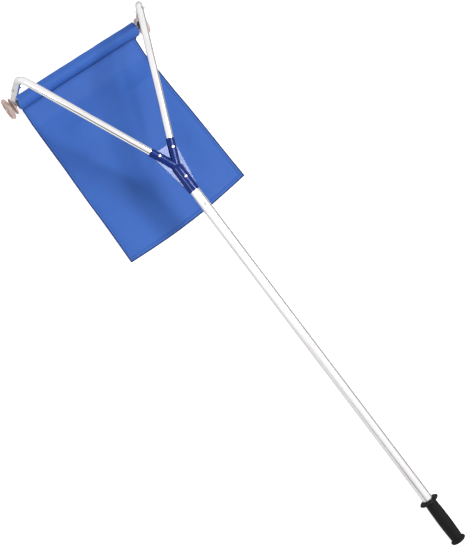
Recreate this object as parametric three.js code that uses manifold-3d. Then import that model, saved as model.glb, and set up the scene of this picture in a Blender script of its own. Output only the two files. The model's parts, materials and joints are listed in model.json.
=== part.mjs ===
// Roof snow rake: an aluminium pole with a rubber grip, a Y connector, two bent arms with legs,
// a crossbar in a cloth sleeve, a wheel at each end of one axle rod, and a cloth that snow slides down.
// Millimetres, +Z up, X across the head, +Y from the grip towards the head. It lies on its wheels
// and on the end flange of the grip, and the origin is on the floor under the box centre.
import * as THREE from 'three';
import { mergeVertices } from 'three/addons/utils/BufferGeometryUtils.js';
import Module from 'manifold-3d';

const wasm = await Module();
wasm.setup();

// Driving dimensions. The rake frame has its origin where the two arm axes meet the pole axis.
const POLE_RADIUS = 15.875;
const POLE_WALL = 1.5;
const GUARD_DISTANCE = 1206;
const GRIP_LENGTH = 152;
const ARM_REACH = 503;
const ARM_SPLAY = THREE.MathUtils.degToRad(24.7);
const ARM_RADIUS = 11.1;
const ARM_WALL = 1.6;
const ARM_BEND_RADIUS = 29;
const LEG_RADIUS = 9.2;
const LEG_WALL = 1.4;
const LEG_KNEE = new THREE.Vector3(235.5, 451.7, -146);
const FOOT = new THREE.Vector3(230.5, 450, -190);
const SOCKET_REACH = 85;
const SOCKET_WALL = 1.65;
const WHEEL_RADIUS = 34;
const WHEEL_OUTER_FACE = 258;
const AXLE_RADIUS = 4;
const CROSSBAR_RADIUS = 19.05;
const CROSSBAR_WALL = 1.6;
const CROSSBAR_HALF = 218;
const SLEEVE_RADIUS = 22.5;
const SLEEVE_HALF = 222;
const CLOTH_LENGTH = 585;
const CLOTH_LEFT_EDGE = { seam: -217, end: -242 };
const CLOTH_RIGHT_EDGE = { seam: 203.5, end: 204.5 };

// Fits
const GAP = 0.3;
const SLIP = 0.2;
const HOLE_SLACK = 0.35;

const aluminium = { color: 0xe4e6e8, roughness: 0.3, metalness: 0.95 };
const steel = { color: 0xb8bcc0, roughness: 0.35, metalness: 1 };
const blueCoat = { color: 0x1a3f9c, roughness: 0.18, metalness: 0.3 };
const nylon = { color: 0x22252b, roughness: 0.6, metalness: 0 };
const wheelPlastic = { color: 0xc9ada4, roughness: 0.55, metalness: 0 };
const rubber = { color: 0x1c1c1d, roughness: 0.75, metalness: 0 };
const cloth = { color: 0x2f5fc4, roughness: 0.8, metalness: 0 };

const X = new THREE.Vector3(1, 0, 0);
const Y = new THREE.Vector3(0, 1, 0);
const Z = new THREE.Vector3(0, 0, 1);
const DOWN_POLE = Y.clone().negate();
const ORIGIN = new THREE.Vector3();

// ---- Shape helpers ----

function signedVolume(geometry) {
  const p = geometry.attributes.position;
  const index = geometry.index;
  const corners = [new THREE.Vector3(), new THREE.Vector3(), new THREE.Vector3()];
  let volume = 0;
  for (let i = 0; i < index.count; i += 3) {
    corners.forEach((corner, k) => corner.fromBufferAttribute(p, index.getX(i + k)));
    volume += corners[0].dot(corners[1].clone().cross(corners[2])) / 6;
  }
  return volume;
}

// Shared vertices merged, only positions kept, and every face turned outwards.
function closed(geometry) {
  const bare = geometry.clone();
  bare.deleteAttribute('normal');
  bare.deleteAttribute('uv');
  const merged = mergeVertices(bare, 1e-4);
  if (signedVolume(merged) < 0) {
    const index = merged.index;
    for (let i = 0; i < index.count; i += 3) {
      const second = index.getX(i + 1);
      index.setX(i + 1, index.getX(i + 2));
      index.setX(i + 2, second);
    }
  }
  return merged;
}

function toSolid(geometry) {
  const merged = closed(geometry);
  const vertProperties = new Float32Array(merged.attributes.position.array);
  const triVerts = new Uint32Array(merged.index.array);
  return new wasm.Manifold(new wasm.Mesh({ numProp: 3, vertProperties, triVerts }));
}

function toGeometry(solid) {
  const mesh = solid.getMesh();
  const geometry = new THREE.BufferGeometry();
  geometry.setAttribute('position', new THREE.BufferAttribute(new Float32Array(mesh.vertProperties), 3));
  geometry.setIndex(new THREE.BufferAttribute(new Uint32Array(mesh.triVerts), 1));
  return geometry;
}

function cut(geometry, ...tools) {
  return toGeometry(tools.reduce((solid, tool) => solid.subtract(toSolid(tool)), toSolid(geometry)));
}

// Turns a shape made along +Y so that it runs along the given axis from the given start.
function along(geometry, axis, start) {
  const turn = new THREE.Quaternion().setFromUnitVectors(Y, axis.clone().normalize());
  return geometry.clone().applyQuaternion(turn).translate(start.x, start.y, start.z);
}

function rod(radius, length, axis, start, segments = 24) {
  const cylinder = new THREE.CylinderGeometry(radius, radius, length, segments).translate(0, length / 2, 0);
  return along(cylinder, axis, start);
}

// A turned part. Profile points are [radius, distance along the axis].
function turned(profile, axis, start, segments = 32) {
  const points = profile.map(([radius, distance]) => new THREE.Vector2(radius, distance));
  return along(new THREE.LatheGeometry(points, segments), axis, start);
}

function ring(inner, outer, length, axis, start, segments = 32) {
  const profile = [[inner, 0], [outer, 0], [outer, length], [inner, length], [inner, 0]];
  return turned(profile, axis, start, segments);
}

function hexRing(inner, acrossFlats, length, axis, start) {
  const corner = acrossFlats / Math.sqrt(3);
  const shape = new THREE.Shape();
  for (let i = 0; i < 6; i += 1) {
    const angle = (i * Math.PI) / 3;
    const step = i === 0 ? 'moveTo' : 'lineTo';
    shape[step](corner * Math.cos(angle), corner * Math.sin(angle));
  }
  shape.closePath();
  const hole = new THREE.Path();
  hole.absarc(0, 0, inner, 0, Math.PI * 2, true);
  shape.holes.push(hole);
  const nut = new THREE.ExtrudeGeometry(shape, { depth: length, bevelEnabled: false, curveSegments: 10 });
  return along(nut.rotateX(-Math.PI / 2), axis, start);
}

// Joins rings of points into one closed skin. Looped rings join the last to the first, and others
// are capped at both ends.
function skin(rings, looped) {
  const count = rings[0].length;
  const vertices = rings.flat();
  const index = [];
  const last = looped ? rings.length : rings.length - 1;
  for (let r = 0; r < last; r += 1) {
    const here = r * count;
    const next = ((r + 1) % rings.length) * count;
    for (let i = 0; i < count; i += 1) {
      const j = (i + 1) % count;
      index.push(here + i, here + j, next + j);
      index.push(here + i, next + j, next + i);
    }
  }
  if (!looped) {
    const middle = (ringPoints) => ringPoints
      .reduce((sum, point) => sum.add(point), new THREE.Vector3())
      .divideScalar(count);
    const firstCap = vertices.push(middle(rings[0])) - 1;
    const lastCap = vertices.push(middle(rings[rings.length - 1])) - 1;
    const lastRing = (rings.length - 1) * count;
    for (let i = 0; i < count; i += 1) {
      const j = (i + 1) % count;
      index.push(firstCap, j, i);
      index.push(lastCap, lastRing + i, lastRing + j);
    }
  }
  const geometry = new THREE.BufferGeometry().setFromPoints(vertices);
  geometry.setIndex(index);
  return geometry;
}

// An oval of points round a centre, with one half size along each of two directions.
function oval(centre, first, firstHalf, second, secondHalf, count = 20) {
  return Array.from({ length: count }, (_, i) => {
    const angle = (i / count) * Math.PI * 2;
    return centre.clone()
      .addScaledVector(first, firstHalf * Math.cos(angle))
      .addScaledVector(second, secondHalf * Math.sin(angle));
  });
}

// ---- Scene graph ----

const roofRake = new THREE.Group();
const rake = new THREE.Group();
roofRake.add(rake);

function add(name, geometry, finish, parent = rake) {
  const mesh = new THREE.Mesh(closed(geometry), new THREE.MeshStandardMaterial(finish));
  mesh.name = name;
  parent.add(mesh);
}

const SIDES = [{ name: 'left', sign: -1 }, { name: 'right', sign: 1 }];

function sided(vector, sign) {
  return new THREE.Vector3(vector.x * sign, vector.y, vector.z);
}

function armDirection(sign) {
  return new THREE.Vector3(sign * Math.sin(ARM_SPLAY), Math.cos(ARM_SPLAY), 0);
}

// ---- Screws and bolts, each with its nut ----

const SOCKET_SCREW = { radius: 2.5, headRadius: 4.8, headHeight: 2.8, nutWidth: 8, nutHeight: 4, stub: 1 };
const LEG_BOLT = { radius: 3, headRadius: 5.2, headHeight: 2.6, nutWidth: 10, nutHeight: 5, stub: 3.5 };

// A round-headed screw through a tube, seated on its far side from the nut. The axis points from
// the nut to the head, and rise is the radius of what it clamps.
function addFastener(screwName, nutName, size, centre, axis, rise) {
  const seat = rise + GAP;
  const end = -seat - size.nutHeight - size.stub;
  const profile = [[0, end], [size.radius, end], [size.radius, seat], [size.headRadius, seat],
    [size.headRadius * 0.8, seat + size.headHeight * 0.75], [0, seat + size.headHeight]];
  add(screwName, turned(profile, axis, centre, 18), steel);
  const nutStart = centre.clone().addScaledVector(axis, -seat - size.nutHeight);
  add(nutName, hexRing(size.radius + SLIP, size.nutWidth, size.nutHeight, axis, nutStart), steel);
}

// A drill right through a tube at a point of its axis.
const DRILL_REACH = 30;

function drill(radius, centre, axis) {
  const start = centre.clone().addScaledVector(axis, -DRILL_REACH);
  return rod(radius + HOLE_SLACK, 2 * DRILL_REACH, axis, start, 16);
}

// ---- Y connector: two pressed shells with flat webs, screwed together over the tubes ----

const ARM_SCREW_DISTANCE = 57;
const POLE_SCREW_DISTANCE = 38.5;
const WEB_THICKNESS = 1.5;
const WEB_REACH = 83;
const WEB_SAG = 9;
const WEB_END_SETBACK = 22;
const WEB_TAIL_SETBACK = 11;
const ARM_SOCKET_RADIUS = ARM_RADIUS + SLIP + SOCKET_WALL;
const POLE_SOCKET_RADIUS = POLE_RADIUS + SLIP + SOCKET_WALL;
const ARM_BORE_START = 24;
const NECK_BORE_START = 10;

// The flat web: straight sides from arm socket to pole socket, and a hollow front between the arms.
function webOutline() {
  const arm = armDirection(1);
  const tip = arm.clone().multiplyScalar(SOCKET_REACH - WEB_END_SETBACK);
  const corner = new THREE.Vector2(tip.x + ARM_SOCKET_RADIUS * arm.y, tip.y - ARM_SOCKET_RADIUS * arm.x);
  const front = arm.clone().multiplyScalar(WEB_REACH);
  const tail = new THREE.Vector2(POLE_SOCKET_RADIUS, -SOCKET_REACH + WEB_TAIL_SETBACK);
  const shape = new THREE.Shape();
  shape.moveTo(-tail.x, tail.y);
  shape.lineTo(tail.x, tail.y);
  shape.lineTo(corner.x, corner.y);
  shape.lineTo(front.x, front.y);
  shape.quadraticCurveTo(0, front.y - 2 * WEB_SAG, -front.x, front.y);
  shape.lineTo(-corner.x, corner.y);
  shape.closePath();
  return shape;
}

function screwPlaces() {
  const arms = SIDES.map(({ name, sign }) => ({
    name: `${name}_socket`,
    place: armDirection(sign).multiplyScalar(ARM_SCREW_DISTANCE),
    rise: ARM_SOCKET_RADIUS,
  }));
  const pole = {
    name: 'pole_socket',
    place: DOWN_POLE.clone().multiplyScalar(POLE_SCREW_DISTANCE),
    rise: POLE_SOCKET_RADIUS,
  };
  return [...arms, pole];
}

// One shell, the upper one. The lower is its mirror in the plane of the arm axes. Its rounded nose
// reaches a little past the meeting point of the axes.
function connectorShell() {
  const web = new THREE.ExtrudeGeometry(webOutline(), { depth: WEB_THICKNESS, bevelEnabled: false });
  const nose = [[0, -12], [9, -9], [15, -3], [POLE_SOCKET_RADIUS, 4]];
  const neckProfile = [...nose, [POLE_SOCKET_RADIUS, SOCKET_REACH], [0, SOCKET_REACH]];
  const neckBoreStart = DOWN_POLE.clone().multiplyScalar(NECK_BORE_START);
  let solid = toSolid(web).add(toSolid(turned(neckProfile, DOWN_POLE, ORIGIN, 40)));
  SIDES.forEach(({ sign }) => {
    solid = solid.add(toSolid(rod(ARM_SOCKET_RADIUS, SOCKET_REACH, armDirection(sign), ORIGIN, 32)));
  });
  solid = solid.subtract(toSolid(rod(POLE_RADIUS + SLIP, SOCKET_REACH, DOWN_POLE, neckBoreStart, 40)));
  SIDES.forEach(({ sign }) => {
    const start = armDirection(sign).multiplyScalar(ARM_BORE_START);
    solid = solid.subtract(toSolid(rod(ARM_RADIUS + SLIP, SOCKET_REACH, armDirection(sign), start, 32)));
  });
  screwPlaces().forEach(({ place }) => {
    solid = solid.subtract(toSolid(drill(SOCKET_SCREW.radius, place, Z)));
  });
  const side = 5 * SOCKET_REACH;
  const upperHalf = new THREE.BoxGeometry(side, side, side).translate(0, 0, (side + GAP) / 2);
  return toGeometry(solid.intersect(toSolid(upperHalf)));
}

function addConnector() {
  const upper = connectorShell();
  const lower = upper.clone().applyMatrix4(new THREE.Matrix4().makeScale(1, 1, -1));
  add('y_connector_top', upper, blueCoat);
  add('y_connector_bottom', lower, blueCoat);
  screwPlaces().forEach(({ name, place, rise }) => {
    addFastener(`${name}_screw`, `${name}_nut`, SOCKET_SCREW, place, Z, rise);
  });
}

// ---- Neck tube, snap button and its spring ----

const NECK_SWAGED_RADIUS = POLE_RADIUS - POLE_WALL - 0.25;
const NECK_BORE = NECK_SWAGED_RADIUS - 1.5;
const NECK_START = NECK_BORE_START + 2;
const NECK_SHOULDER = SOCKET_REACH - 1;
const NECK_END = 166;
const BUTTON = DOWN_POLE.clone().multiplyScalar(134);
const BUTTON_RADIUS = 3.9;
const BUTTON_PROUD = 3.4;
const BUTTON_BOTTOM = 3.2;
const SPRING = { width: 11, thickness: 0.9, upperLeaf: 5.6, lowerLeaf: -10.3, open: 146, fold: 94 };

function addNeck() {
  const profile = [[NECK_BORE, NECK_START], [POLE_RADIUS, NECK_START], [POLE_RADIUS, NECK_SHOULDER],
    [NECK_SWAGED_RADIUS, NECK_SHOULDER + 0.8], [NECK_SWAGED_RADIUS, NECK_END], [NECK_BORE, NECK_END],
    [NECK_BORE, NECK_START]];
  const tube = turned(profile, DOWN_POLE, ORIGIN, 40);
  const screw = DOWN_POLE.clone().multiplyScalar(POLE_SCREW_DISTANCE);
  add('neck_tube', cut(tube, drill(SOCKET_SCREW.radius, screw, Z), buttonHole()), aluminium);
}

// The hole for the button, in the upper side of the tubes only.
function buttonHole() {
  return rod(BUTTON_RADIUS + HOLE_SLACK, DRILL_REACH, Z, BUTTON, 20);
}

function addButton() {
  const top = POLE_RADIUS + BUTTON_PROUD;
  const profile = [[0, BUTTON_BOTTOM], [BUTTON_RADIUS, BUTTON_BOTTOM], [BUTTON_RADIUS, top - 1.8],
    [BUTTON_RADIUS * 0.85, top - 0.7], [BUTTON_RADIUS * 0.5, top - 0.1], [0, top]];
  add('snap_button', turned(profile, Z, BUTTON, 20), steel);
}

// A flat spring folded into a V clip. The profile is drawn as distance down the pole and height.
function addSpring() {
  const half = SPRING.thickness / 2;
  const middle = (SPRING.upperLeaf + SPRING.lowerLeaf) / 2;
  const bend = (SPRING.upperLeaf - SPRING.lowerLeaf) / 2;
  const quarter = Math.PI / 2;
  const shape = new THREE.Shape();
  shape.moveTo(SPRING.open, SPRING.lowerLeaf - half);
  shape.lineTo(SPRING.fold, SPRING.lowerLeaf - half);
  shape.absarc(SPRING.fold, middle, bend + half, -quarter, quarter, true);
  shape.lineTo(SPRING.open, SPRING.upperLeaf + half);
  shape.lineTo(SPRING.open, SPRING.upperLeaf - half);
  shape.lineTo(SPRING.fold, SPRING.upperLeaf - half);
  shape.absarc(SPRING.fold, middle, bend - half, quarter, -quarter, false);
  shape.lineTo(SPRING.open, SPRING.lowerLeaf + half);
  shape.closePath();
  const settings = { depth: SPRING.width, bevelEnabled: false, curveSegments: 10 };
  const clip = new THREE.ExtrudeGeometry(shape, settings);
  const place = new THREE.Matrix4().makeBasis(DOWN_POLE, Z, X.clone().negate());
  clip.applyMatrix4(place).translate(SPRING.width / 2, 0, 0);
  add('button_spring', cut(clip, buttonHole()), steel);
}

// ---- Pole and grip ----

const POLE_START = SOCKET_REACH + 0.4;
const GRIP_CLOSED_END = 8;
const GRIP_BODY_RADIUS = 17.5;
const GRIP_BELLY = 1.8;
const GUARD_RADIUS = 30;
const END_FLANGE_RADIUS = 23.5;
const END_FLANGE_SETBACK = 4.5;
const GRIP_FACE_RADIUS = 16;

function addPole() {
  const end = GUARD_DISTANCE + GRIP_LENGTH - GRIP_CLOSED_END - 4;
  const start = DOWN_POLE.clone().multiplyScalar(POLE_START);
  const tube = ring(POLE_RADIUS - POLE_WALL, POLE_RADIUS, end - POLE_START, DOWN_POLE, start, 40);
  add('pole_tube', cut(tube, buttonHole()), aluminium);
}

// A rubber sleeve with a closed end: a wide guard, a slightly bellied body and an end flange.
function addGrip() {
  const bore = POLE_RADIUS + SLIP;
  const length = GRIP_LENGTH;
  const guard = [[bore + 1.8, 0], [bore + 2, 4], [GUARD_RADIUS - 1.2, 4.8], [GUARD_RADIUS, 6.4],
    [GUARD_RADIUS - 1.2, 8], [GUARD_RADIUS - 7, 9], [GRIP_BODY_RADIUS, 12]];
  const bodyStart = 18;
  const bodyEnd = length - 14;
  const steps = 6;
  const belly = Array.from({ length: steps + 1 }, (_, i) => {
    const share = i / steps;
    const swell = GRIP_BELLY * Math.sin(Math.PI * share);
    return [GRIP_BODY_RADIUS + swell, THREE.MathUtils.lerp(bodyStart, bodyEnd, share)];
  });
  const flange = [[GRIP_BODY_RADIUS, length - 8], [END_FLANGE_RADIUS - 1, length - 6.4],
    [END_FLANGE_RADIUS, length - END_FLANGE_SETBACK], [END_FLANGE_RADIUS - 1.5, length - 1.5],
    [GRIP_FACE_RADIUS, length], [0, length]];
  const hollow = [[0, length - GRIP_CLOSED_END], [bore, length - GRIP_CLOSED_END], [bore, 0]];
  const start = DOWN_POLE.clone().multiplyScalar(GUARD_DISTANCE);
  add('grip', turned([...hollow, ...guard, ...belly, ...flange], DOWN_POLE, start, 32), rubber);
}

// ---- Arms, legs and feet ----

const LEG_BOLT_DISTANCE = 68;
const ARM_END = 92;
const LEG_START = 37;
const ARM_BEND_STEPS = 8;
const FLAT_HALF = 2.2;
const FLAT_HALF_WIDTH = 11;
const FOOT_ROUND = 11.5;

function legDirection(sign) {
  const corner = armDirection(sign).multiplyScalar(ARM_REACH);
  return sided(LEG_KNEE, sign).sub(corner).normalize();
}

// Points of an arm's centre line, with its bend as an arc, and the direction at each.
function armPath(sign) {
  const first = armDirection(sign);
  const second = legDirection(sign);
  const corner = first.clone().multiplyScalar(ARM_REACH);
  const turn = first.angleTo(second);
  const setback = ARM_BEND_RADIUS * Math.tan(turn / 2);
  const inward = second.clone().addScaledVector(first, -Math.cos(turn)).normalize();
  const bendStart = corner.clone().addScaledVector(first, -setback);
  const centre = bendStart.clone().addScaledVector(inward, ARM_BEND_RADIUS);
  const path = [{ point: first.clone().multiplyScalar(ARM_BORE_START + 2), direction: first }];
  for (let i = 0; i <= ARM_BEND_STEPS; i += 1) {
    const angle = (turn * i) / ARM_BEND_STEPS;
    path.push({
      point: centre.clone()
        .addScaledVector(inward, -ARM_BEND_RADIUS * Math.cos(angle))
        .addScaledVector(first, ARM_BEND_RADIUS * Math.sin(angle)),
      direction: first.clone().multiplyScalar(Math.cos(angle)).addScaledVector(inward, Math.sin(angle)),
    });
  }
  path.push({ point: corner.clone().addScaledVector(second, ARM_END), direction: second });
  return { path, normal: first.clone().cross(second).normalize(), corner };
}

function armTube(sign) {
  const { path, normal } = armPath(sign);
  const rings = (radius) => path.map(({ point, direction }) => oval(
    point,
    normal,
    radius,
    direction.clone().cross(normal),
    radius,
  ));
  return skin([...rings(ARM_RADIUS), ...rings(ARM_RADIUS - ARM_WALL).reverse()], true);
}

// A leg: a round tube inside the end of the arm, pressed flat at its foot and bored for the axle.
function legTube(sign) {
  const { corner } = armPath(sign);
  const direction = legDirection(sign);
  const across = X.clone().addScaledVector(direction, -X.dot(direction)).normalize();
  const forward = direction.clone().cross(across);
  const kneeDistance = sided(LEG_KNEE, sign).distanceTo(corner);
  const along = (distance, acrossHalf, forwardHalf) => oval(
    corner.clone().addScaledVector(direction, distance),
    across,
    acrossHalf,
    forward,
    forwardHalf,
  );
  const round = (distance, radius) => along(distance, radius, radius);
  const flat = (height, halfWidth) => oval(
    sided(FOOT, sign).addScaledVector(Z, height),
    X,
    FLAT_HALF,
    DOWN_POLE,
    halfWidth,
  );
  const inner = LEG_RADIUS - LEG_WALL;
  return skin([
    round(kneeDistance - 22, inner * 0.6),
    round(kneeDistance - 26, inner),
    round(LEG_START, inner),
    round(LEG_START, LEG_RADIUS),
    round(kneeDistance - 18, LEG_RADIUS),
    along(kneeDistance - 6, LEG_RADIUS * 0.6, FLAT_HALF_WIDTH * 0.86),
    flat(28, FLAT_HALF_WIDTH * 0.97),
    flat(18, FLAT_HALF_WIDTH),
    flat(0, FLAT_HALF_WIDTH),
    flat(-FOOT_ROUND * 0.55, FLAT_HALF_WIDTH * 0.84),
    flat(-FOOT_ROUND * 0.85, FLAT_HALF_WIDTH * 0.53),
    flat(-FOOT_ROUND * 0.98, FLAT_HALF_WIDTH * 0.2),
  ], false);
}

function addArm({ name, sign }) {
  const { corner } = armPath(sign);
  const direction = legDirection(sign);
  const screwPlace = armDirection(sign).multiplyScalar(ARM_SCREW_DISTANCE);
  const boltAxis = X.clone().addScaledVector(direction, -X.dot(direction)).normalize().negate();
  const boltCentre = corner.clone().addScaledVector(direction, LEG_BOLT_DISTANCE);
  const boltHole = drill(LEG_BOLT.radius, boltCentre, boltAxis);
  const axleHole = drill(AXLE_RADIUS, sided(FOOT, sign), X);
  add(`${name}_arm`, cut(armTube(sign), drill(SOCKET_SCREW.radius, screwPlace, Z), boltHole), aluminium);
  add(`${name}_leg`, cut(legTube(sign), boltHole, axleHole), aluminium);
  addFastener(`${name}_leg_bolt`, `${name}_leg_nut`, LEG_BOLT, boltCentre, boltAxis, ARM_RADIUS);
}

// ---- Crossbar, axle rod and wheels ----

const PLUG_FLANGE = 3;
const PLUG_DEPTH = 16;
const AXLE_BORE = AXLE_RADIUS + SLIP;
const BUSHING_RADIUS = 7;
const BUSHING_START = FOOT.x + FLAT_HALF + GAP;
const BUSHING_END = 252.5;
const WASHER = { radius: 10, thickness: 1.6 };
const AXLE_NUT = { width: 13, height: 6 };
const WASHER_START = BUSHING_END + GAP;
const NUT_START = WASHER_START + WASHER.thickness + GAP;
const AXLE_END = NUT_START + AXLE_NUT.height + 1;
const WHEEL_START = BUSHING_START + 2 * GAP;
const WHEEL_FLANGE = { radius: 27, thickness: 4.5 };
const WHEEL_HUB_RADIUS = 12;
const WHEEL_TREAD = 11;
const WHEEL_WEB = 5;
const RIM_DEPTH = 5;

function axlePoint(sign, x) {
  return new THREE.Vector3(sign * x, FOOT.y, FOOT.z);
}

// A moulded wheel: a small flange towards the leg, a hub, and a thick disc with a dished outer face.
// Distances run outwards from the inner face of the flange.
function wheelProfile() {
  const bore = BUSHING_RADIUS + GAP;
  const { radius, thickness } = WHEEL_FLANGE;
  const outer = WHEEL_OUTER_FACE - WHEEL_START;
  const inner = outer - WHEEL_TREAD;
  const dish = inner + WHEEL_WEB;
  const round = 2.5;
  const flange = [[bore, 0], [radius - 1, 0], [radius, 1], [radius, thickness - 1], [radius - 1, thickness]];
  const tread = [[WHEEL_RADIUS - round, inner], [WHEEL_RADIUS, inner + round],
    [WHEEL_RADIUS, outer - round], [WHEEL_RADIUS - round, outer], [WHEEL_RADIUS - RIM_DEPTH, outer]];
  return [...flange, [WHEEL_HUB_RADIUS, thickness], [WHEEL_HUB_RADIUS, inner], ...tread,
    [WHEEL_RADIUS - RIM_DEPTH - 1, dish], [bore, dish], [bore, 0]];
}

function addAxleEnd({ name, sign }) {
  const out = X.clone().multiplyScalar(sign);
  const plugRadius = CROSSBAR_RADIUS - CROSSBAR_WALL - SLIP;
  const plug = [[AXLE_BORE, -PLUG_DEPTH], [plugRadius - 1, -PLUG_DEPTH], [plugRadius, 2 - PLUG_DEPTH],
    [plugRadius, 0], [CROSSBAR_RADIUS, 0], [CROSSBAR_RADIUS, PLUG_FLANGE], [AXLE_BORE, PLUG_FLANGE],
    [AXLE_BORE, -PLUG_DEPTH]];
  add(`${name}_crossbar_plug`, turned(plug, out, axlePoint(sign, CROSSBAR_HALF + GAP), 28), nylon);

  const length = BUSHING_END - BUSHING_START;
  const bushing = ring(AXLE_BORE, BUSHING_RADIUS, length, out, axlePoint(sign, BUSHING_START), 24);
  add(`${name}_wheel_bushing`, bushing, nylon);
  add(`${name}_wheel`, turned(wheelProfile(), out, axlePoint(sign, WHEEL_START), 40), wheelPlastic);

  const washer = ring(AXLE_BORE, WASHER.radius, WASHER.thickness, out, axlePoint(sign, WASHER_START), 24);
  add(`${name}_axle_washer`, washer, steel);
  const nut = hexRing(AXLE_BORE, AXLE_NUT.width, AXLE_NUT.height, out, axlePoint(sign, NUT_START));
  add(`${name}_axle_nut`, nut, steel);
}

function addCrossbar() {
  const start = axlePoint(1, -CROSSBAR_HALF);
  const tube = ring(CROSSBAR_RADIUS - CROSSBAR_WALL, CROSSBAR_RADIUS, 2 * CROSSBAR_HALF, X, start, 36);
  add('crossbar_tube', tube, aluminium);
  add('axle_rod', rod(AXLE_RADIUS, 2 * AXLE_END, X, axlePoint(1, -AXLE_END), 24), steel);
}

// ---- Lying on the floor ----

// The tilt that brings the wheels and the end flange of the grip down to one floor.
function floorTilt() {
  const run = FOOT.y + GUARD_DISTANCE + GRIP_LENGTH - END_FLANGE_SETBACK;
  const drop = -FOOT.z - END_FLANGE_RADIUS;
  return Math.atan2(drop, run) + Math.asin(WHEEL_RADIUS / Math.hypot(run, drop));
}

function placeRake() {
  rake.rotation.x = floorTilt();
  rake.updateMatrixWorld(true);
  const box = new THREE.Box3().setFromObject(rake, true);
  rake.position.set(0, -(box.min.y + box.max.y) / 2, -box.min.z);
  rake.updateMatrixWorld(true);
}

// ---- Cloth: a sleeve round the crossbar, and a sheet that drops to the floor behind it ----

const SLEEVE_WALL = 1;
const SHEET_THICKNESS = 1.6;
const FLOOR_CLEARANCE = 0.4;
const SHEET_LANDING = 80;
const SHEET_LEAVES_SLEEVE = THREE.MathUtils.degToRad(-128);
const SHEET_MEETS_SLEEVE = THREE.MathUtils.degToRad(-120);

// The cloth's edge at a distance from the crossbar's axis towards the grip.
function clothEdge(edge, sleeve, distance) {
  if (distance <= SLEEVE_RADIUS) {
    return sleeve;
  }
  return THREE.MathUtils.mapLinear(distance, SLEEVE_RADIUS, CLOTH_LENGTH, edge.seam, edge.end);
}

// The profile is drawn in the Y and Z directions from the crossbar's axis, and extruded across.
function addCloth() {
  const axle = rake.localToWorld(FOOT.clone());
  const floor = FLOOR_CLEARANCE - axle.z;
  const shape = new THREE.Shape();
  shape.absarc(0, 0, SLEEVE_RADIUS, SHEET_MEETS_SLEEVE, SHEET_LEAVES_SLEEVE + Math.PI * 2, false);
  shape.lineTo(-SHEET_LANDING, floor + SHEET_THICKNESS);
  shape.lineTo(-CLOTH_LENGTH, floor + SHEET_THICKNESS);
  shape.lineTo(-CLOTH_LENGTH, floor);
  shape.lineTo(-SHEET_LANDING + 2, floor);
  shape.closePath();
  const hole = new THREE.Path();
  hole.absarc(0, 0, SLEEVE_RADIUS - SLEEVE_WALL, 0, Math.PI * 2, true);
  shape.holes.push(hole);
  const solid = new THREE.ExtrudeGeometry(shape, { depth: 1, bevelEnabled: false, curveSegments: 32 });
  solid.applyMatrix4(new THREE.Matrix4().makeBasis(Y, Z, X));
  const p = solid.attributes.position;
  for (let i = 0; i < p.count; i += 1) {
    const distance = -p.getY(i);
    const left = clothEdge(CLOTH_LEFT_EDGE, -SLEEVE_HALF, distance);
    const right = clothEdge(CLOTH_RIGHT_EDGE, SLEEVE_HALF, distance);
    p.setX(i, left + (right - left) * p.getX(i));
  }
  solid.translate(0, axle.y, axle.z);
  add('slide_cloth', solid, cloth, roofRake);
}

addConnector();
addNeck();
addButton();
addSpring();
addPole();
addGrip();
SIDES.forEach(addArm);
addCrossbar();
SIDES.forEach(addAxleEnd);
placeRake();
addCloth();

export default roofRake;
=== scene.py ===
"""The looks of the roof snow rake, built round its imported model. Metres, +Z up, +Y to the head."""

import json
import math

import bmesh
import bpy
import numpy as np
from mathutils import Matrix, Vector, noise


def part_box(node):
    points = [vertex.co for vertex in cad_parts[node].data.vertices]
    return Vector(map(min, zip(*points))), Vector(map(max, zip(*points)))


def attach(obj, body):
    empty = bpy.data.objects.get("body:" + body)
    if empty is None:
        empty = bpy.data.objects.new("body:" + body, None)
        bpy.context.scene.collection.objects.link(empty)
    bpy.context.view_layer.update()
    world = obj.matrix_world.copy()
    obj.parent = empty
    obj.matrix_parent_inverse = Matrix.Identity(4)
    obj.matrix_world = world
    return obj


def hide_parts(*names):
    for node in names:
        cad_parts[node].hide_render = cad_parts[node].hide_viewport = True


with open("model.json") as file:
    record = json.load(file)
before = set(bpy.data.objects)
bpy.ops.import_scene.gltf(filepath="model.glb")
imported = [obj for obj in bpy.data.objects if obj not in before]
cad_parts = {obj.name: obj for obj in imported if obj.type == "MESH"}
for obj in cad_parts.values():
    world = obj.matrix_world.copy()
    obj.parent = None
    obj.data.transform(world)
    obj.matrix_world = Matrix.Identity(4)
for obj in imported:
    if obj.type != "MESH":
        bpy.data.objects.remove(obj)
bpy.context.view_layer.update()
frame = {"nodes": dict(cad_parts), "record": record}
NODES = frame["nodes"]
BODY_OF = {
    node: body for body, nodes in frame["record"]["behaviour"]["bodies"].items() for node in nodes
}
SLOT_OF = {part["node"]: part["material_slot"] for part in frame["record"]["subparts"]}
SIDES = ("left", "right")
MM = 0.001


def centre(node):
    low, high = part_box(node)
    return (low + high) / 2


def size(node):
    low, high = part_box(node)
    return high - low


# ---- Camera ----

CAMERA_PLACE = Vector((-0.734, -0.1387, 2.6013))
CAMERA_FORWARD = Vector((0.2827, 0.0795, -0.9559))
CAMERA_UP_BEARING = math.radians(50.55)
CAMERA_LENS = 59.1
CAMERA_SHIFT = (-0.0333, -0.0095)


def make_camera():
    data = bpy.data.cameras.new("camera")
    data.lens = CAMERA_LENS
    data.shift_x, data.shift_y = CAMERA_SHIFT
    camera = bpy.data.objects.new("camera", data)
    bpy.context.scene.collection.objects.link(camera)
    forward = CAMERA_FORWARD.normalized()
    across = Vector((math.cos(CAMERA_UP_BEARING), math.sin(CAMERA_UP_BEARING), 0))
    up = (across - across.dot(forward) * forward).normalized()
    right = forward.cross(up)
    turn = Matrix((right, up, -forward)).transposed()
    camera.matrix_world = Matrix.Translation(CAMERA_PLACE) @ turn.to_4x4()
    bpy.context.scene.camera = camera


make_camera()


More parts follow.
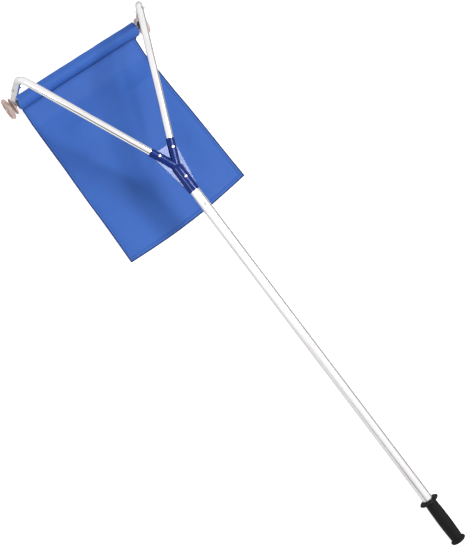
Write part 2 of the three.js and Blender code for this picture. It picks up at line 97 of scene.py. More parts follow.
# ---- Mesh helpers ----

def new_object(name, mesh):
    piece = bpy.data.objects.new(name, mesh)
    bpy.context.scene.collection.objects.link(piece)
    return piece


def smooth(mesh):
    for polygon in mesh.polygons:
        polygon.use_smooth = True


def mesh_from(name, vertices, faces):
    mesh = bpy.data.meshes.new(name)
    mesh.from_pydata([tuple(v) for v in vertices], [], faces)
    mesh.validate()
    smooth(mesh)
    return new_object(name, mesh)


def apply_modifiers(piece):
    bpy.context.view_layer.update()
    evaluated = piece.evaluated_get(bpy.context.evaluated_depsgraph_get())
    mesh = bpy.data.meshes.new_from_object(evaluated)
    piece.modifiers.clear()
    piece.data = mesh
    return piece


def grid_faces(rows, columns, wrap=False):
    """Quads of a grid of points stored row by row. Wrapped columns join the last to the first."""
    faces = []
    for row in range(rows - 1):
        near, far = row * columns, (row + 1) * columns
        for c in range(columns if wrap else columns - 1):
            d = (c + 1) % columns
            faces.append((near + c, near + d, far + d, far + c))
    return faces


# ---- Material helpers ----

def shader(name, **inputs):
    """A material with one Principled shader. Underscores in the input names stand for spaces."""
    material = bpy.data.materials.new(name)
    material.use_nodes = True
    principled = material.node_tree.nodes["Principled BSDF"]
    for key, value in inputs.items():
        principled.inputs[key.replace("_", " ")].default_value = value
    return material, principled


def node(material, kind, **settings):
    made = material.node_tree.nodes.new(kind)
    for key, value in settings.items():
        setattr(made, key, value)
    return made


def link(material, source, target):
    material.node_tree.links.new(source, target)


def place_in(material, axis=Vector((0, 0, 1)), stretch=(1, 1, 1)):
    """Coordinates in metres, turned so that Z runs along the axis, and divided by the stretch."""
    mapping = node(material, "ShaderNodeMapping", vector_type="TEXTURE")
    turn = Vector((0, 0, 1)).rotation_difference(axis)
    mapping.inputs["Rotation"].default_value = turn.to_euler()
    mapping.inputs["Scale"].default_value = stretch
    link(material, node(material, "ShaderNodeTexCoord").outputs["Object"], mapping.inputs["Vector"])
    return mapping.outputs["Vector"]


# Noise values lie mostly between these two.
NOISE_LOW = 0.3
NOISE_HIGH = 0.7


def grain(material, place, scale, detail, distortion=0.0):
    made = node(material, "ShaderNodeTexNoise")
    made.inputs["Scale"].default_value = scale
    made.inputs["Detail"].default_value = detail
    made.inputs["Distortion"].default_value = distortion
    link(material, place, made.inputs["Vector"])
    return made.outputs["Fac"]


def spread(material, value, low, high, start=NOISE_LOW, end=NOISE_HIGH):
    """A value from start to end mapped to low to high."""
    made = node(material, "ShaderNodeMapRange")
    for key, number in zip(("From Min", "From Max", "To Min", "To Max"), (start, end, low, high)):
        made.inputs[key].default_value = number
    link(material, value, made.inputs["Value"])
    return made.outputs["Result"]


def tint(material, value, stops):
    """A colour ramp of (position, colour) stops."""
    ramp = node(material, "ShaderNodeValToRGB")
    while len(ramp.color_ramp.elements) < len(stops):
        ramp.color_ramp.elements.new(0.5)
    for element, (position, colour) in zip(ramp.color_ramp.elements, stops):
        element.position = position
        element.color = (*colour, 1)
    link(material, value, ramp.inputs["Fac"])
    return ramp.outputs["Color"]


def clouded(material, value, dark, light):
    """A colour that drifts between two shades with a noise value."""
    return tint(material, value, [(NOISE_LOW, dark), (NOISE_HIGH, light)])


def feed(material, value, socket):
    """Gives a socket the output of another node, or a plain value."""
    if isinstance(value, bpy.types.NodeSocket):
        link(material, value, socket)
    else:
        socket.default_value = value


def blend_colours(material, factor, first, second):
    """The first colour at factor 0 and the second at factor 1, each a socket or three numbers."""
    made = node(material, "ShaderNodeMix", data_type="RGBA")
    sockets = {socket.identifier: socket for socket in made.inputs}
    feed(material, factor, sockets["Factor_Float"])
    for key, colour in (("A_Color", first), ("B_Color", second)):
        feed(material, (*colour, 1) if isinstance(colour, tuple) else colour, sockets[key])
    return {socket.identifier: socket for socket in made.outputs}["Result_Color"]


def calculated(material, operation, first, second):
    """The result of one maths step on two sockets or numbers."""
    made = node(material, "ShaderNodeMath", operation=operation)
    for socket, value in zip(made.inputs, (first, second)):
        feed(material, value, socket)
    return made.outputs["Value"]


def raise_surface(material, principled, heights, distance):
    """Bump from one or more (height, share of the distance) layers, each fed by the one before."""
    normal = None
    for height, share in heights:
        bump = node(material, "ShaderNodeBump")
        bump.inputs["Distance"].default_value = share * distance
        link(material, height, bump.inputs["Height"])
        if normal is not None:
            link(material, normal, bump.inputs["Normal"])
        normal = bump.outputs["Normal"]
    link(material, normal, principled.inputs["Normal"])


def edge_mask(material, radius, start, end):
    """Near 1 along sharp edges and 0 on open faces."""
    bevel = node(material, "ShaderNodeBevel", samples=6)
    bevel.inputs["Radius"].default_value = radius
    dot = node(material, "ShaderNodeVectorMath", operation="DOT_PRODUCT")
    link(material, bevel.outputs["Normal"], dot.inputs[0])
    link(material, node(material, "ShaderNodeNewGeometry").outputs["Normal"], dot.inputs[1])
    return spread(material, dot.outputs["Value"], 1, 0, start, end)


# ---- Materials ----

def drawn_aluminium(name, axis, polished, satin):
    """Bright drawn tube: fine streaks along it, a soft grey cast and light handling marks."""
    material, principled = shader(name, Metallic=1.0)
    streaks = grain(material, place_in(material, axis, (1, 1, 60)), scale=900, detail=4)
    cloud = grain(material, place_in(material, axis, (1, 1, 4)), scale=45, detail=4)
    marks_place = place_in(material, axis, (1, 1, 0.6))
    marks = grain(material, marks_place, scale=260, detail=5, distortion=1.2)
    colour = clouded(material, cloud, (0.90, 0.88, 0.875), (0.97, 0.965, 0.965))
    marked = spread(material, marks, 0, 0.2, start=0.66, end=0.8)
    colour = blend_colours(material, marked, colour, (0.62, 0.61, 0.6))
    link(material, colour, principled.inputs["Base Color"])
    link(material, spread(material, streaks, polished, satin), principled.inputs["Roughness"])
    raise_surface(material, principled, [(streaks, 1.0), (marks, 0.6)], distance=0.000012)
    return material


def plated_steel(name):
    """Zinc plate: a faint mottled spangle."""
    material, principled = shader(name, Metallic=1.0)
    place = place_in(material)
    mottle = grain(material, place, scale=700, detail=4, distortion=0.6)
    colour = clouded(material, mottle, (0.55, 0.56, 0.58), (0.8, 0.8, 0.79))
    link(material, colour, principled.inputs["Base Color"])
    link(material, spread(material, mottle, 0.2, 0.4), principled.inputs["Roughness"])
    fine = grain(material, place, scale=2500, detail=2)
    raise_surface(material, principled, [(fine, 1.0)], distance=0.00002)
    return material


def glossy_blue(name):
    """Baked gloss coating over pressed metal: slight orange peel, paler along worn edges."""
    material, principled = shader(
        name, Coat_Weight=0.12, Coat_Roughness=0.05,
        Specular_IOR_Level=0.3, Specular_Tint=(0.5, 0.62, 1.0, 1),
    )
    place = place_in(material)
    cloud = grain(material, place, scale=60, detail=3)
    peel = grain(material, place, scale=900, detail=2)
    colour = clouded(material, cloud, (0.003, 0.014, 0.13), (0.005, 0.022, 0.18))
    worn = edge_mask(material, radius=0.0006, start=0.8, end=0.97)
    chips = grain(material, place, scale=800, detail=4)
    chips = spread(material, chips, 0, 0.8, start=0.45, end=0.62)
    wear = calculated(material, "MULTIPLY", worn, chips)
    colour = blend_colours(material, wear, colour, (0.16, 0.24, 0.5))
    link(material, colour, principled.inputs["Base Color"])
    link(material, spread(material, cloud, 0.08, 0.16), principled.inputs["Roughness"])
    raise_surface(material, principled, [(peel, 1.0)], distance=0.000003)
    return material


def moulded(name, dark, light):
    """Moulded plastic: cloudy colour, a fine spark texture and duller patches."""
    material, principled = shader(name)
    place = place_in(material)
    cloud = grain(material, place, scale=90, detail=5, distortion=0.8)
    link(material, clouded(material, cloud, dark, light), principled.inputs["Base Color"])
    link(material, spread(material, cloud, 0.37, 0.55), principled.inputs["Roughness"])
    fine = grain(material, place, scale=1600, detail=3)
    raise_surface(material, principled, [(fine, 1.0)], distance=0.00004)
    return material


WEAVE_SCALE = 420


def woven_blue(name, dark, light, thread):
    """Coated nylon: a fine plain weave, a soft sheen, cloudy colour and slight creases all over."""
    material, principled = shader(
        name, Sheen_Weight=0.05, Sheen_Roughness=0.4, Sheen_Tint=(0.55, 0.7, 1.0, 1),
        Specular_IOR_Level=0.2,
    )
    place = place_in(material)
    waves = []
    for direction in "XY":
        wave = node(material, "ShaderNodeTexWave", wave_type="BANDS", bands_direction=direction)
        wave.inputs["Scale"].default_value = WEAVE_SCALE
        wave.inputs["Distortion"].default_value = 0.4
        wave.inputs["Detail"].default_value = 1
        link(material, place, wave.inputs["Vector"])
        waves.append(wave.outputs["Fac"])
    weave = calculated(material, "MULTIPLY", *waves)
    cloud = grain(material, place, scale=7, detail=3)
    shade = spread(material, weave, 0, 1, start=0, end=0.5)
    colour = blend_colours(material, shade, clouded(material, cloud, dark, light), thread)
    link(material, colour, principled.inputs["Base Color"])
    link(material, spread(material, cloud, 0.5, 0.62), principled.inputs["Roughness"])
    creases = grain(material, place, scale=38, detail=4, distortion=0.5)
    raise_surface(material, principled, [(weave, 1.0), (creases, 7.0)], distance=0.00006)
    return material


def porous_rubber(name):
    """Black rubber: a dusty bloom, with fine pores."""
    material, principled = shader(name, Specular_IOR_Level=0.2)
    place = place_in(material)
    bloom = grain(material, place, scale=120, detail=5, distortion=0.5)
    colour = tint(material, bloom, [(0.35, (0.003, 0.003, 0.0033)), (0.75, (0.007, 0.007, 0.0073))])
    link(material, colour, principled.inputs["Base Color"])
    link(material, spread(material, bloom, 0.5, 0.72), principled.inputs["Roughness"])
    pores = grain(material, place, scale=2200, detail=3)
    raise_surface(material, principled, [(pores, 1.0)], distance=0.00006)
    return material


STEEL = plated_steel("zinc_plated_steel")
BLUE_COAT = glossy_blue("gloss_blue_coating")
NYLON = moulded("black_nylon", (0.018, 0.018, 0.02), (0.035, 0.035, 0.038))
WHEEL = moulded("wheel_plastic", (0.50, 0.37, 0.33), (0.66, 0.51, 0.46))
RUBBER = porous_rubber("grip_rubber")
FABRIC = woven_blue(
    "coated_blue_nylon", (0.026, 0.092, 0.37), (0.036, 0.122, 0.45), (0.05, 0.145, 0.5),
)
# Real navy thread for the stitches, and also the dark colour of the edge and seam cords, which paint
# shade.
NAVY_THREAD_AND_SHADE = woven_blue("navy_thread_and_painted_shade", (0.003, 0.007, 0.055), (0.006, 0.014, 0.09), (0.01, 0.02, 0.12))


# ---- CAD pieces with crisp, softly rounded edges ----

MATERIAL_FOR = {
    "steel": STEEL, "blue_coat": BLUE_COAT, "black_nylon": NYLON, "wheel_plastic": WHEEL,
    "grip_rubber": RUBBER, "blue_cloth": FABRIC,
}


def tube_axis(name):
    """The way a tube runs: the diagonal of an arm's box seen from above, else the longest side."""
    extent = size(name)
    if name.endswith("_arm"):
        side = -1 if name.startswith("left") else 1
        return Vector((side * extent.x, extent.y, 0)).normalized()
    longest = max(range(3), key=lambda k: extent[k])
    return Vector([float(k == longest) for k in range(3)])


# The least and greatest roughness of a tube's surface.
POLE_FINISH = (0.26, 0.38)
POLISHED_FINISH = (0.06, 0.13)


def finish_for(name):
    slot = SLOT_OF[name]
    if slot == "aluminium_tube":
        finish = POLE_FINISH if name == "pole_tube" else POLISHED_FINISH
        return drawn_aluminium(f"drawn_{name}", tube_axis(name), *finish)
    return MATERIAL_FOR[slot]


# Edges that turn by more than SHARP are rounded, and faces that turn by less than FLAT are merged.
SHARP = math.radians(32)
FLAT = math.radians(0.6)
WELD_DISTANCE = 2e-6


def refine(name, bevel):
    """Puts a copy in a CAD node's place, with merged faces, rounded edges and smooth curves."""
    mesh = NODES[name].data.copy()
    work = bmesh.new()
    work.from_mesh(mesh)
    bmesh.ops.remove_doubles(work, verts=work.verts, dist=WELD_DISTANCE)
    bmesh.ops.dissolve_limit(work, angle_limit=FLAT, verts=work.verts, edges=work.edges)
    work.to_mesh(mesh)
    work.free()
    piece = new_object(f"{name}_piece", mesh)
    if mesh.has_custom_normals:
        bpy.context.view_layer.objects.active = piece
        bpy.ops.mesh.customdata_custom_splitnormals_clear()
    rounding = piece.modifiers.new("edges", "BEVEL")
    rounding.width = bevel
    rounding.segments = 2
    rounding.limit_method = "ANGLE"
    rounding.angle_limit = SHARP
    apply_modifiers(piece)
    smooth(piece.data)
    piece.data.set_sharp_from_angle(angle=SHARP)
    weighted = piece.modifiers.new("flat_faces", "WEIGHTED_NORMAL")
    weighted.keep_sharp = True
    apply_modifiers(piece)
    piece.data.materials.clear()
    piece.data.materials.append(finish_for(name))
    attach(piece, BODY_OF[name])
    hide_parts(name)


# Widths of the rounded edges, in millimetres.
SIDED_BEVELS = {
    "socket_screw": 0.35, "socket_nut": 0.4, "arm": 0.3, "leg": 0.3, "leg_bolt": 0.4,
    "leg_nut": 0.5, "crossbar_plug": 0.3, "wheel_bushing": 0.3, "wheel": 0.5, "axle_washer": 0.2,
    "axle_nut": 0.5,
}
BEVELS = {
    "y_connector_top": 0.5, "y_connector_bottom": 0.5, "pole_tube": 0.3, "crossbar_tube": 0.3,
    "snap_button": 0.2, "axle_rod": 0.5,
    **{f"{side}_{part}": width for side in SIDES for part, width in SIDED_BEVELS.items()},
    "pole_socket_screw": 0.35, "pole_socket_nut": 0.4,
}

for cad_name, width in BEVELS.items():
    refine(cad_name, width * MM)

# These two keep their CAD meshes and only get their finish.
for cad_name in ("neck_tube", "button_spring"):
    NODES[cad_name].data.materials.clear()
    NODES[cad_name].data.materials.append(finish_for(cad_name))


# ---- Grip ----

POLE_LOW, POLE_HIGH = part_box("pole_tube")
POLE_END_BAND = 0.004


def pole_axis():
    """The pole's direction, from head to grip, and the middle of its grip end."""
    points = np.array([v.co for v in NODES["pole_tube"].data.vertices], float)
    head = Vector(points[points[:, 1] > POLE_HIGH.y - POLE_END_BAND].mean(0))
    tail = Vector(points[points[:, 1] < POLE_LOW.y + POLE_END_BAND].mean(0))
    return (tail - head).normalized(), tail


GRIP_BODY_RADIUS = 0.0175
GRIP_BELLY = 0.0018
GRIP_RIM_RADIUS = 0.0235
GRIP_AROUND = 144
GRIP_ROWS = 170
GRIP_SHARP = math.radians(60)
KNURL_PITCH = 0.0052
KNURL_TURNS = 22
KNURL_HEIGHT = 0.0004
KNURL_FLOOR = -0.2
KNURL_FADE = 0.004
# Where the body starts behind the guard's face, and where it stops before the far end.
BODY_START = 0.014
BODY_STOP = 0.009


def grip_outline(length, guard):
    """Radii and distances from the guard's face, and where the knurled body starts and ends.

    The outline has a lipped guard, a bellied body and an end flange.
    """
    body = GRIP_BODY_RADIUS
    rim = GRIP_RIM_RADIUS
    front = [
        (0.0162, 0.0), (0.0176, 0.0), (0.0181, 0.0006), (0.0181, 0.0030), (0.0190, 0.0039),
        (guard - 0.0040, 0.0044), (guard - 0.0014, 0.0049), (guard - 0.0003, 0.0056),
        (guard, 0.0064), (guard - 0.0003, 0.0072), (guard - 0.0014, 0.0079),
        (guard - 0.0060, 0.0088), (body + 0.0022, 0.0102), (body + 0.0002, 0.0126),
    ]
    start, end = BODY_START, length - BODY_STOP
    middle = []
    for i in range(GRIP_ROWS + 1):
        share = i / GRIP_ROWS
        belly = GRIP_BELLY * math.sin(math.pi * share)
        middle.append((body + belly, start + share * (end - start)))
    back = [
        (body + 0.0008, length - 0.0080), (rim - 0.0020, length - 0.0066),
        (rim - 0.0004, length - 0.0054), (rim, length - 0.0036),
        (rim - 0.0004, length - 0.0020), (rim - 0.0018, length - 0.0009),
        (rim - 0.0045, length - 0.0002), (0.016, length), (0.0004, length),
    ]
    return front + middle + back, start, end


def make_grip():
    """The grip: a rubber sleeve with crossed knurling, on the line of the pole."""
    axis, tail = pole_axis()
    points = [v.co.copy() for v in NODES["grip"].data.vertices]
    distances = [(p - tail).dot(axis) for p in points]
    start, end = min(distances), max(distances)
    guard = max(((p - tail) - (p - tail).dot(axis) * axis).length for p in points)
    across = Vector((1, 0, 0))
    upward = axis.cross(across)
    outline, knurl_start, knurl_end = grip_outline(end - start, guard)
    vertices = []
    for radius, distance in outline:
        inside = min(distance - knurl_start, knurl_end - distance)
        fade = max(0, min(1, inside / KNURL_FADE))
        wave = distance * 2 * math.pi / KNURL_PITCH
        for k in range(GRIP_AROUND):
            angle = 2 * math.pi * k / GRIP_AROUND
            turns = KNURL_TURNS * angle
            crossing = max(math.sin(turns + wave), math.sin(turns - wave), KNURL_FLOOR)
            r = radius + KNURL_HEIGHT * fade * crossing
            spoke = math.cos(angle) * across + math.sin(angle) * upward
            vertices.append(tail + (start + distance) * axis + r * spoke)
    faces = grid_faces(len(outline), GRIP_AROUND, wrap=True)
    grip = mesh_from("grip_rubber_sleeve", vertices, faces)
    work = bmesh.new()
    work.from_mesh(grip.data)
    bmesh.ops.holes_fill(work, edges=[e for e in work.edges if e.is_boundary], sides=GRIP_AROUND)
    bmesh.ops.recalc_face_normals(work, faces=work.faces)
    work.to_mesh(grip.data)
    work.free()
    smooth(grip.data)
    grip.data.set_sharp_from_angle(angle=GRIP_SHARP)
    grip.data.materials.append(RUBBER)
    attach(grip, BODY_OF["grip"])
    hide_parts("grip")


make_grip()


# ---- Cloth: a sleeve round the crossbar and a sheet laid on the floor ----

BAR = centre("crossbar_tube")
CLOTH_LOW, CLOTH_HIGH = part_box("slide_cloth")
CLOTH_THICKNESS = 0.0006
CLOTH_WIDTH = 0.43
SLEEVE_RADIUS = CLOTH_HIGH.z - BAR.z - CLOTH_THICKNESS
SLEEVE_INSET = 0.0004
SLEEVE_SLACK = 0.0007
SLACK_SCALE = 22
SLACK_TURN_SCALE = 1.3
SEAM_ANGLE = math.radians(218)
SEAM_HEIGHT = BAR.z + SLEEVE_RADIUS * math.sin(SEAM_ANGLE)
SEAM_Y = BAR.y + SLEEVE_RADIUS * math.cos(SEAM_ANGLE)
FALL_LENGTH = 0.07
FALL_EASE = 0.85
FALL_RIPPLE = 0.0022
RIPPLE_SCALE = 16
FLOOR_LIFT = 0.0009
END_BOW = 0.012
SETTLING = 0.12
SLEEVE_LEFT = -0.214
SLEEVE_SLANT = 0.009
SLEEVE_SLANT_ANGLE = math.radians(150)
SLEEVE_RIGHT = 0.2215
SEAM_LEFT = SLEEVE_LEFT - SLEEVE_SLANT * math.cos(SEAM_ANGLE - SLEEVE_SLANT_ANGLE)
# X of each edge at the seam, where the sheet meets the floor and at the free end.
LEFT_EDGE = (SEAM_LEFT, -0.2195, -0.242)
RIGHT_EDGE = (0.2035, 0.2035, 0.2045)
RIGHT_NOTCH = 0.12
HEM_WIDTH = 0.011
HEM_STEP = 0.0007
STITCH_INSET = 0.0015
# Distances in from a side and from the free end, close together round the hem's inner line.
SIDE_HEM = (
    0, 0.0015, 0.004, HEM_WIDTH - STITCH_INSET, HEM_WIDTH - 0.0004, HEM_WIDTH + 0.0006,
    HEM_WIDTH + 0.002,
)
END_HEM = (0.014, HEM_WIDTH + 0.0006, HEM_WIDTH - 0.0004, 0.006, 0.002, 0)
SLEEVE_ROWS = 60
FALL_ROWS = 20
FLOOR_ROWS = 130
COLUMNS = 130


def mix(start, end, share):
    """Share 0 gives the start and share 1 the end."""
    return start + (end - start) * share


def hem_columns():
    """Shares of the width, crowded round the two side hems."""
    edge = [value / CLOTH_WIDTH for value in SIDE_HEM]
    inner = COLUMNS - 2 * len(edge)
    span = 1 - 2 * edge[-1]
    middle = [edge[-1] + span * (i + 1) / (inner + 1) for i in range(inner)]
    return edge + middle + [1 - value for value in reversed(edge)]


SHARES = hem_columns()

# Soft folds where the sheet lies loose: start, end, height and width, drawn from above.
FOLDS = (
    ((0.20, 0.86), (0.04, 0.60), 0.0092, 0.050),
    ((-0.02, 0.64), (-0.05, 0.33), 0.0092, 0.055),
    ((0.19, 0.62), (0.12, 0.33), 0.0074, 0.045),
    ((-0.24, 0.70), (-0.13, 0.50), 0.0068, 0.040),
    ((-0.22, 0.50), (-0.19, 0.33), 0.0080, 0.050),
    ((-0.07, 0.85), (-0.12, 0.64), 0.0062, 0.045),
    ((0.06, 0.52), (0.09, 0.31), 0.0050, 0.035),
)

# How far a fold runs on past its ends, as a share of its length.
FOLD_OVERRUN = 0.15
FOLD_FADE = 0.8
UNEVENNESS = 0.0012
UNEVENNESS_SCALE = 9


def ridge(x, y, start, end, height, width):
    """A soft fold that runs from start to end and dies away past both."""
    line = Vector(end) - Vector(start)
    to_point = Vector((x, y)) - Vector(start)
    t = to_point.dot(line) / line.length_squared
    t = min(1 + FOLD_OVERRUN, max(-FOLD_OVERRUN, t))
    away = (to_point - t * line).length
    fade = math.sin(math.pi * (t + FOLD_OVERRUN) / (1 + 2 * FOLD_OVERRUN)) ** FOLD_FADE
    return height * fade * math.exp(-((away / width) ** 2))


def fold_height(x, y):
    """The height of all folds at a place, with a little unevenness between them."""
    lift = sum(ridge(x, y, *fold) for fold in FOLDS)
    place = Vector((x * UNEVENNESS_SCALE, y * UNEVENNESS_SCALE, 0.3))
    return lift + UNEVENNESS * (0.5 + 0.5 * noise.noise(place))


def sleeve_point(share, angle):
    """A point of the sleeve, whose left end is cut a little askew."""
    left = SLEEVE_LEFT - SLEEVE_SLANT * math.cos(angle - SLEEVE_SLANT_ANGLE)
    x = mix(left, SLEEVE_RIGHT, share)
    slack = SLEEVE_SLACK * noise.noise(Vector((x * SLACK_SCALE, angle * SLACK_TURN_SCALE, 0)))
    radius = SLEEVE_RADIUS - SLEEVE_INSET + slack
    return Vector((x, BAR.y + radius * math.cos(angle), BAR.z + radius * math.sin(angle)))


def fall_point(share, t):
    """The stretch from the seam down to the floor, narrower than the sleeve at its right edge."""
    notch = (SLEEVE_RIGHT - RIGHT_EDGE[0]) * max(0, 1 - t / RIGHT_NOTCH) ** 2
    left = mix(LEFT_EDGE[0], LEFT_EDGE[1], t)
    x = mix(left, mix(RIGHT_EDGE[0], RIGHT_EDGE[1], t) + notch, share)
    ease = (3 * t * t - 2 * t * t * t) ** FALL_EASE
    wrinkle = noise.noise(Vector((x * RIPPLE_SCALE, 4.0, 0.0)))
    ripple = FALL_RIPPLE * math.sin(math.pi * t) * wrinkle
    return Vector((x, SEAM_Y - FALL_LENGTH * t, mix(SEAM_HEIGHT, FLOOR_LIFT + ripple, ease)))


def floor_point(share, t):
    """The stretch that lies on the floor, with its free end a little bowed and its hems thicker."""
    x = mix(mix(LEFT_EDGE[1], LEFT_EDGE[2], t), mix(RIGHT_EDGE[1], RIGHT_EDGE[2], t), share)
    bow = t ** 3 * END_BOW * (share - math.sin(math.pi * share))
    start = SEAM_Y - FALL_LENGTH
    y = start + (CLOTH_LOW.y - start) * t + bow
    settled = min(1.0, t / SETTLING) ** 2
    edge = min(share, 1 - share) * CLOTH_WIDTH
    end = (1 - t) * (start - CLOTH_LOW.y)
    hem = HEM_STEP if min(edge, end) < HEM_WIDTH else 0.0
    return Vector((x, y, FLOOR_LIFT + settled * fold_height(x, y) + hem))


def floor_rows():
    """Shares of the stretch on the floor, crowded at the end hem."""
    length = SEAM_Y - FALL_LENGTH - CLOTH_LOW.y
    last = [1 - value / length for value in END_HEM]
    plain = [last[0] * (i + 1) / FLOOR_ROWS for i in range(FLOOR_ROWS - 1)]
    return plain + last


def sheet_rows():
    """Every row of the sheet from the back of the sleeve to the free end."""
    rows = []
    for i in range(SLEEVE_ROWS + 1):
        angle = SEAM_ANGLE - 2 * math.pi * (1 - i / SLEEVE_ROWS)
        rows.append([sleeve_point(share, angle) for share in SHARES])
    rows += [[fall_point(share, (i + 1) / FALL_ROWS) for share in SHARES] for i in range(FALL_ROWS)]
    rows += [[floor_point(share, t) for share in SHARES] for t in floor_rows()]
    return rows


def rope_mesh(name, paths, radius, sides=8):
    """Closed round cords along paths, joined in one mesh, in the navy that serves both for thread
    and for painted shade.
    """
    vertices, faces = [], []
    for path in paths:
        base = len(vertices)
        for i, point in enumerate(path):
            ahead = (path[min(i + 1, len(path) - 1)] - path[max(i - 1, 0)]).normalized()
            side = ahead.cross(Vector((0, 0, 1)))
            side = side.normalized() if side.length > 0.01 else Vector((1, 0, 0))
            lift = side.cross(ahead)
            for k in range(sides):
                angle = 2 * math.pi * k / sides
                vertices.append(point + radius * (math.cos(angle) * side + math.sin(angle) * lift))
        quads = grid_faces(len(path), sides, wrap=True)
        faces += [[base + index for index in face] for face in quads]
        faces.append([base + k for k in range(sides)])
        faces.append([base + (len(path) - 1) * sides + k for k in reversed(range(sides))])
    piece = mesh_from(name, vertices, faces)
    piece.data.materials.append(NAVY_THREAD_AND_SHADE)
    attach(piece, BODY_OF["slide_cloth"])
    return piece


def spaced(path, step):
    """Points at equal steps along a path."""
    points, left = [path[0]], step
    for a, b in zip(path, path[1:]):
        length = (b - a).length
        while left <= length:
            points.append(a.lerp(b, left / length))
            left += step
        left -= length
    return points


STITCH_PITCH = 0.0022
CORD_RADIUS = 0.0017
THREAD_RADIUS = 0.00028
# Shifts that put cords and threads on the face of the cloth and into the seam.
ON_FACE = Vector((0, 0, 0.0006))
IN_SEAM = Vector((0, -0.001, -0.0002))
# The rows that carry the stitch lines below the seam and along the end hem.
SEAM_STITCH_ROW = SLEEVE_ROWS + 2
END_STITCH_ROW = -4


def stitches(paths):
    """Short thread dashes: two steps of thread, then one step under the cloth."""
    dashes = []
    for path in paths:
        points = spaced(path, STITCH_PITCH)
        dashes += [points[i:i + 3] for i in range(0, len(points) - 2, 3)]
    return dashes


def on_face(points):
    return [point + ON_FACE for point in points]


def inset(rows, share):
    """The line down the sheet that lies nearest to a share of its width."""
    column = min(range(len(SHARES)), key=lambda c: abs(SHARES[c] - share))
    return on_face(row[column] for row in rows)


def make_cloth():
    """The sheet with its hem edge and its seam, both dark cords that also paint shade, and its
    stitches.
    """
    rows = sheet_rows()
    vertices = [point for row in rows for point in row]
    cloth = mesh_from("slide_cloth_sheet", vertices, grid_faces(len(rows), len(SHARES)))
    thick = cloth.modifiers.new("thickness", "SOLIDIFY")
    thick.thickness = CLOTH_THICKNESS
    thick.offset = 0
    apply_modifiers(cloth)
    cloth.data.materials.append(FABRIC)
    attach(cloth, BODY_OF["slide_cloth"])
    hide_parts("slide_cloth")

    laid = rows[SLEEVE_ROWS + 1:]
    border = [row[0] for row in laid] + laid[-1] + [row[-1] for row in reversed(laid)]
    # Painted shade: this dark navy cord round the sheet's border stands in for the shade beneath the
    # cloth's edge, laid over its rolled hem.
    edge_shade_cord = rope_mesh("cloth_hem_edge_painted_shade", [on_face(border)], CORD_RADIUS)
    # Partly a real seam and partly painted shade: this dark navy cord in the seam darkens the line
    # where the sleeve's shadow falls on the sheet.
    seam = [point + IN_SEAM for point in rows[SLEEVE_ROWS]]
    seam_shade_cord = rope_mesh("sleeve_seam_fold_painted_shade", [seam], CORD_RADIUS)
    hem_share = (HEM_WIDTH - STITCH_INSET) / CLOTH_WIDTH
    lines = [
        inset(laid, hem_share), inset(laid, 1 - hem_share),
        on_face(laid[END_STITCH_ROW]), on_face(rows[SEAM_STITCH_ROW]),
    ]
    thread = rope_mesh("cloth_stitches", stitches(lines), THREAD_RADIUS, sides=6)


make_cloth()


# ---- Floor and light ----

FLOOR_REACH = 6
FLOOR_GLOW = 0.7
LIGHT_DISTANCE = 3.0
LIGHT_AIM = Vector((0, 0.3, 0.1))
# Name, direction, width, height and radiance.
SOFTBOXES = (
    ("key_light", (0.48, -0.10, 0.87), 1.3, 0.9, 14.5),
    ("top_light", (0.275, 0.062, 0.96), 0.4, 0.4, 26),
    ("side_light", (-0.74, 0.05, 0.67), 0.8, 0.8, 8),
)


def make_floor():
    """A pale table lit from inside, so that shadows on it stay pale."""
    signs = ((-1, -1), (1, -1), (1, 1), (-1, 1))
    corners = [(FLOOR_REACH * x, FLOOR_REACH * y, 0) for x, y in signs]
    floor = mesh_from("floor", corners, [(0, 1, 2, 3)])
    material, _ = shader(
        "pale_floor", Base_Color=(0.9, 0.9, 0.9, 1), Roughness=0.9, Specular_IOR_Level=0.1,
        Emission_Color=(1, 1, 1, 1), Emission_Strength=FLOOR_GLOW,
    )
    floor.data.materials.append(material)
    floor.visible_glossy = False


def softbox(name, direction, width, height, radiance):
    """A soft light that stands in a direction from the aim point and faces it."""
    data = bpy.data.lights.new(name, "AREA")
    data.shape = "RECTANGLE"
    data.size = width
    data.size_y = height
    data.energy = math.pi * width * height * radiance
    lamp = bpy.data.objects.new(name, data)
    bpy.context.scene.collection.objects.link(lamp)
    towards = Vector(direction).normalized()
    lamp.location = LIGHT_AIM + LIGHT_DISTANCE * towards
    lamp.rotation_euler = towards.to_track_quat("Z", "Y").to_euler()


AMBIENT = 0.5
# Brightness of the mirrored studio by the height of the direction, from -1 below to 1 above.
LEFT_TENT = ((-1.0, 0.6), (-0.5, 0.72), (-0.1, 0.84), (0.1, 0.9), (0.3, 0.95), (1.0, 0.98))
RIGHT_TENT = ((-1.0, 0.45), (-0.5, 0.55), (-0.1, 0.66), (0.1, 0.78), (0.3, 0.92), (1.0, 0.98))
# The front left part has a dark skirting above a pale floor.
SKIRTED_TENT = (
    (-1.0, 0.6), (-0.3, 0.9), (0.1, 0.98), (0.13, 0.03), (0.53, 0.03), (0.56, 0.96), (1.0, 0.98),
)
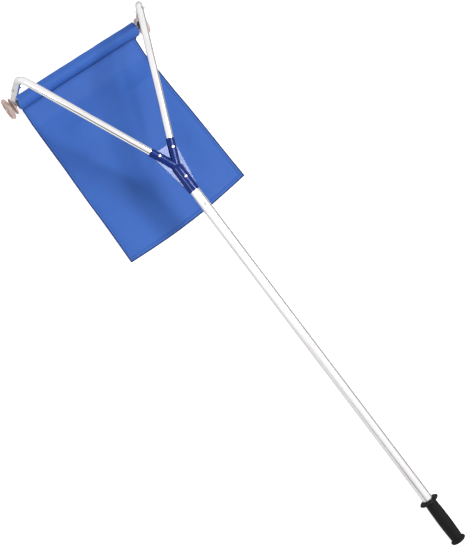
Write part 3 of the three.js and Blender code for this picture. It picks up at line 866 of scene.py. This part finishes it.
# A dark slot at the far right falls away towards the front.
SLOT_LEAN = 1.1
SLOT_IN_TENT = ((-0.06, 0.0), (0.0, 1.0), (0.3, 1.0), (0.36, 0.0))
SLOT_SHADE = (0.12, 0.12, 0.12)
# Where the parts of the studio blend, by the X or the Y of the direction.
LEFT_BLEND = (-0.15, 0.15)
FRONT_BLEND = (-0.28, -0.22)
RIGHT_BLEND = (0.72, 0.8)


def ramp_over(world, value, stops):
    """Grey levels of (value, level) stops, for a value from -1 to 1."""
    levels = [((place + 1) / 2, (level, level, level)) for place, level in stops]
    return tint(world, spread(world, value, 0, 1, start=-1, end=1), levels)


def make_world():
    """Even light on rough surfaces, and a studio tent mirrored in glossy ones."""
    world = bpy.data.worlds.new("studio")
    world.use_nodes = True
    background = world.node_tree.nodes["Background"]
    parts = node(world, "ShaderNodeSeparateXYZ")
    link(world, node(world, "ShaderNodeTexCoord").outputs["Generated"], parts.inputs["Vector"])
    x, y, z = (parts.outputs[axis] for axis in "XYZ")
    left = spread(world, x, 1, 0, *LEFT_BLEND)
    front = spread(world, y, 1, 0, *FRONT_BLEND)
    sides = [ramp_over(world, z, levels) for levels in (RIGHT_TENT, LEFT_TENT)]
    tent = blend_colours(world, left, *sides)
    front_left = calculated(world, "MULTIPLY", left, front)
    tent = blend_colours(world, front_left, tent, ramp_over(world, z, SKIRTED_TENT))
    leaning = calculated(world, "SUBTRACT", z, calculated(world, "MULTIPLY", y, SLOT_LEAN))
    right = spread(world, x, 0, 1, *RIGHT_BLEND)
    slot = calculated(world, "MULTIPLY", ramp_over(world, leaning, SLOT_IN_TENT), right)
    mirrored = blend_colours(world, slot, tent, SLOT_SHADE)
    glossy = node(world, "ShaderNodeLightPath").outputs["Is Glossy Ray"]
    colour = blend_colours(world, glossy, (AMBIENT, AMBIENT, AMBIENT), mirrored)
    link(world, colour, background.inputs["Color"])
    bpy.context.scene.world = world


make_floor()
make_world()
for box in SOFTBOXES:
    softbox(*box)
bpy.context.scene.view_settings.view_transform = "Standard"
